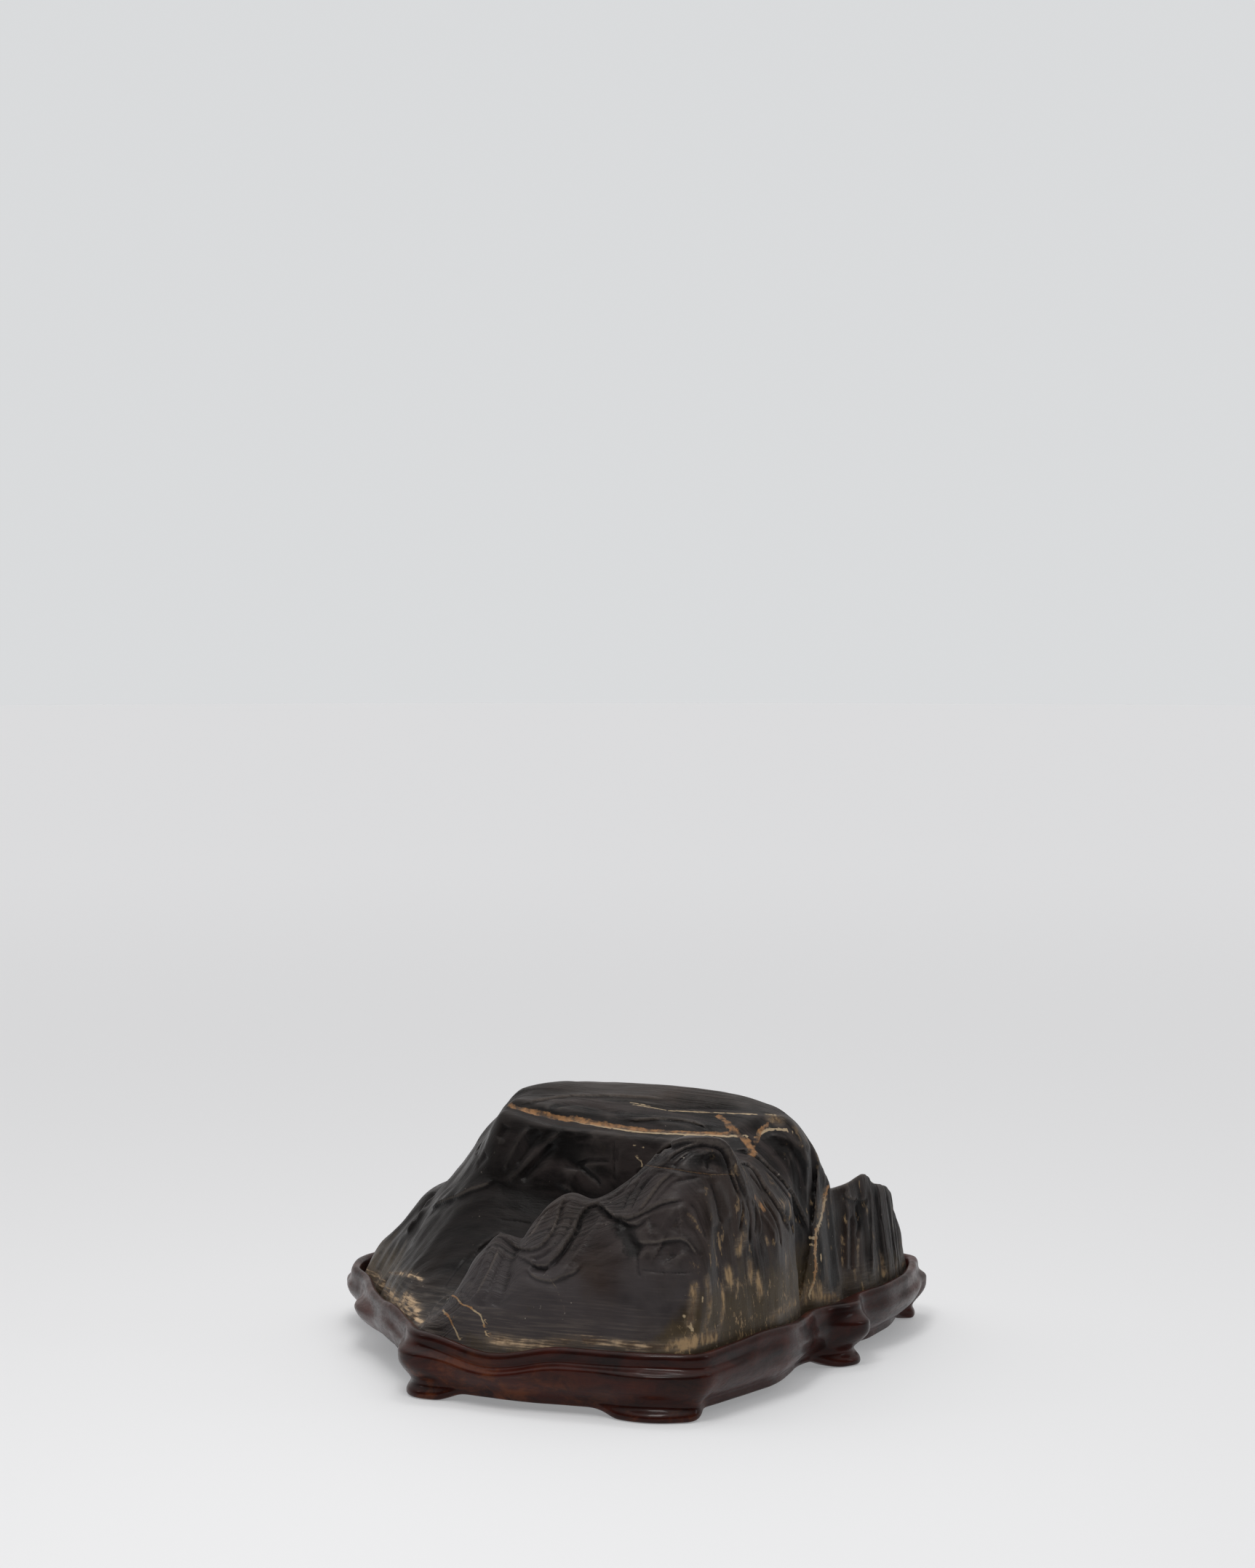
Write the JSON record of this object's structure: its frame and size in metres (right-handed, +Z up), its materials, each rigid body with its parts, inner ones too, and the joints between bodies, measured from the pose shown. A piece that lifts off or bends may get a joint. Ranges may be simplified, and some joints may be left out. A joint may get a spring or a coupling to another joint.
{
  "type": "scholars rock on stand",
  "caption": "Small dark mountain-shaped viewing stone with a flat summit and ragged ridges, resting in a carved wooden stand with low feet.",
  "frame": {"origin": "middle of the bounding box in plan, at the undersides of the stand's feet", "axes": "+Z up; +X to the right along the stone's front face; -Y out of the front face, so +Y runs back along the right cliff"},
  "size_m": [0.2473, 0.2571, 0.1121],
  "materials": {
    "dark_stone": "satin",
    "carved_wood": "satin lacquer"
  },
  "bodies": {
    "root": {"stone": "dark_stone", "stand": "carved_wood"}
  },
  "joints": []
}
